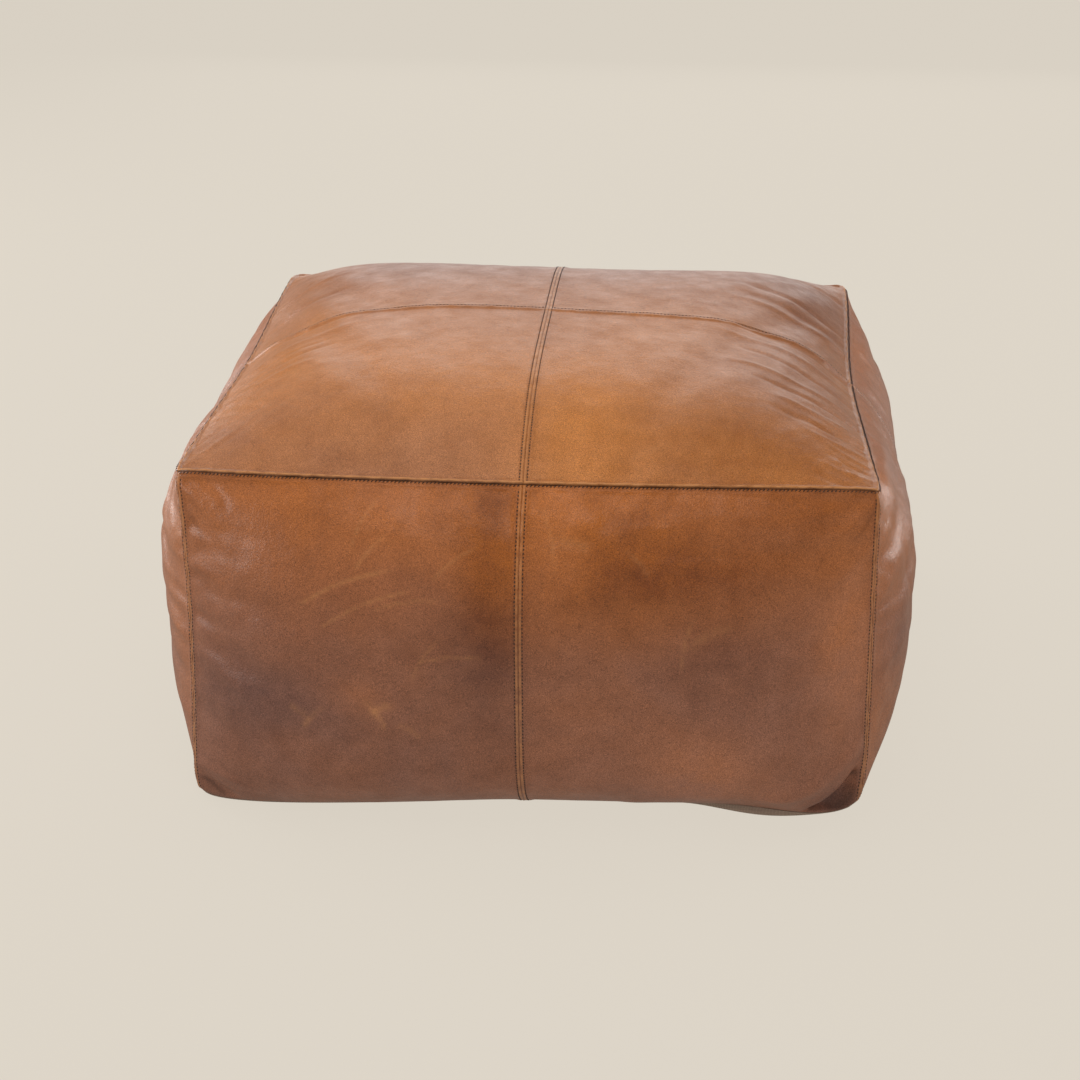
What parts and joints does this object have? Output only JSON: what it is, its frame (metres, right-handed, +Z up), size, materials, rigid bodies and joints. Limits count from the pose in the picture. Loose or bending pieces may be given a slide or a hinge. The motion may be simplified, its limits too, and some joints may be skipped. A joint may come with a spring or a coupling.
{
  "type": "leather pouf",
  "caption": "Square stuffed leather pouf: a bulging cover pieced from leather panels with dark topstitched seams, over a filled inner bag, with a zip in its canvas base.",
  "frame": {"origin": "centre of the square footprint, on the floor that the flat base rests on", "axes": "+Z up; -Y is the front, the side with its middle seam towards a viewer; +X is to the right seen from the front; the zip runs along X"},
  "size_m": [0.707, 0.707, 0.3846],
  "materials": {
    "top_leather": "satin",
    "side_leather": "satin",
    "base_canvas": "matte",
    "sewing_thread": "satin",
    "zip_tape": "matte",
    "zip_coil": "satin",
    "zip_metal": "satin",
    "bag_cotton": "matte",
    "filling_fibre": "matte"
  },
  "bodies": {
    "cover": {"top_panel_front_left": "top_leather", "top_panel_front_right": "top_leather", "top_panel_back_left": "top_leather", "top_panel_back_right": "top_leather", "front_panel_left": "side_leather", "front_panel_right": "side_leather", "right_panel_front": "side_leather", "right_panel_back": "side_leather", "back_panel_right": "side_leather", "back_panel_left": "side_leather", "left_panel_back": "side_leather", "left_panel_front": "side_leather", "base_panel_front": "base_canvas", "base_panel_back": "base_canvas", "top_lengthwise_stitching_left": "sewing_thread", "top_lengthwise_stitching_right": "sewing_thread", "top_crosswise_stitching_left": "sewing_thread", "top_crosswise_stitching_right": "sewing_thread", "perimeter_stitching": "sewing_thread", "front_corner_stitching_left": "sewing_thread", "front_middle_stitching_left": "sewing_thread", "front_middle_stitching_right": "sewing_thread", "front_corner_stitching_right": "sewing_thread", "right_corner_stitching_front": "sewing_thread", "right_middle_stitching_front": "sewing_thread", "right_middle_stitching_back": "sewing_thread", "right_corner_stitching_back": "sewing_thread", "back_corner_stitching_right": "sewing_thread", "back_middle_stitching_right": "sewing_thread", "back_middle_stitching_left": "sewing_thread", "back_corner_stitching_left": "sewing_thread", "left_corner_stitching_back": "sewing_thread", "left_middle_stitching_back": "sewing_thread", "left_middle_stitching_front": "sewing_thread", "left_corner_stitching_front": "sewing_thread", "zip_stitching": "sewing_thread", "zip_tape_front": "zip_tape", "zip_tape_back": "zip_tape", "zip_coil_front": "zip_coil", "zip_coil_back": "zip_coil", "zip_top_stop_front": "zip_metal", "zip_top_stop_back": "zip_metal", "zip_bottom_stop": "zip_metal", "inner_bag": "bag_cotton", "filling": "filling_fibre"},
    "slider": {"zip_slider": "zip_metal"},
    "pull": {"zip_pull": "zip_metal"}
  },
  "joints": [
    {"name": "slider_travel", "type": "slide", "parent": "cover", "child": "slider", "axis": [-1, 0, 0], "range_m": [0, 0.35]},
    {"name": "pull_swing", "type": "hinge", "parent": "slider", "child": "pull", "pos_m": [0.175, 0, 0.0031], "axis": [0, -1, 0], "range_deg": [-5, 175]}
  ]
}
